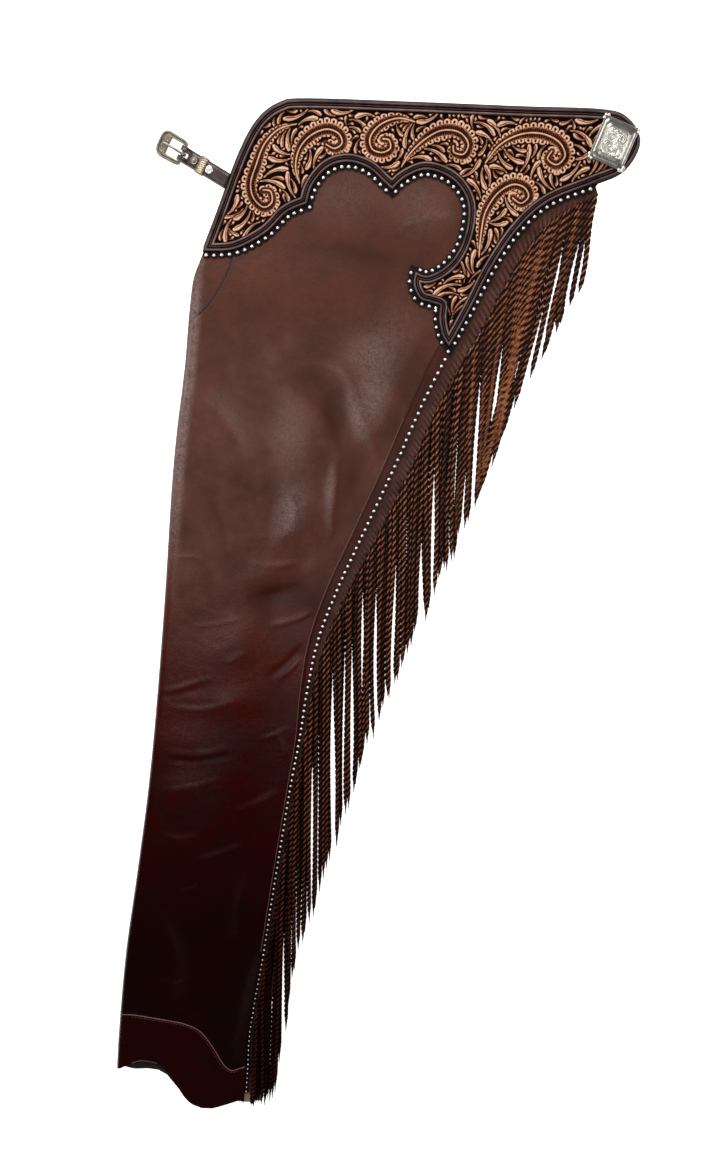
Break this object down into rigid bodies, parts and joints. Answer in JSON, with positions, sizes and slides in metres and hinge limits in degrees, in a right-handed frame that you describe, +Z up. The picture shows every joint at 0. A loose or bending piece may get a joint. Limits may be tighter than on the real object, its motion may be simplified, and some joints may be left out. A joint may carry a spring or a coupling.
{
  "type": "leather chaps",
  "caption": "Left leg of fringed leather chaps laid flat: tapered leg with a side zip, scalloped tooled yoke, long fringe down the outer edge and a hip strap with a small buckle.",
  "frame": {"origin": "middle of the object's box in X and Y, at the floor it lies on", "axes": "+X towards the outer side with the fringe, +Y up the leg towards the waist, +Z up from the floor, towards the leg's front"},
  "size_m": [0.497, 1.0217, 0.0122],
  "materials": {
    "leg_leather": "smooth, half-gloss dark brown",
    "hem_leather": "smooth, half-gloss red-brown",
    "underlay_leather": "matte near-black",
    "tooled_leather": "tooled tan on a dark ground",
    "border_leather": "rolled edge, half-gloss dark brown",
    "fringe_leather": "twisted rust-brown strands",
    "zip_tape": "woven tan tape",
    "silver": "engraved silver-coloured metal",
    "steel": "polished steel",
    "black_metal": "dark enamelled zip slider"
  },
  "bodies": {
    "leg": {"back_panel": "leg_leather", "front_panel": "leg_leather", "inner_thigh_panel": "leg_leather", "hem_band": "hem_leather", "zip_tape_front": "zip_tape", "zip_tape_back": "zip_tape", "zip_slider": "black_metal", "side_strip": "leg_leather", "yoke_underlay": "underlay_leather", "yoke_panel": "tooled_leather", "yoke_border": "border_leather", "fringe_upper": "fringe_leather", "fringe_middle": "fringe_leather", "fringe_lower": "fringe_leather", "buckle_strap": "border_leather", "strap_keeper": "silver", "strap_screw_1": "silver", "strap_screw_2": "silver", "concho": "silver"},
    "buckle": {"buckle_frame": "silver"},
    "tongue": {"buckle_tongue": "steel"}
  },
  "joints": [
    {"name": "buckle_swing", "type": "hinge", "parent": "leg", "child": "buckle", "pos_m": [-0.1235, 0.4711, 0.00425], "axis": [0.4939, 0.8695, 0], "range_deg": [0, 95]},
    {"name": "tongue_swing", "type": "hinge", "parent": "buckle", "child": "tongue", "pos_m": [-0.1235, 0.4711, 0.00425], "axis": [0.4939, 0.8695, 0], "range_deg": [0, 40]}
  ]
}
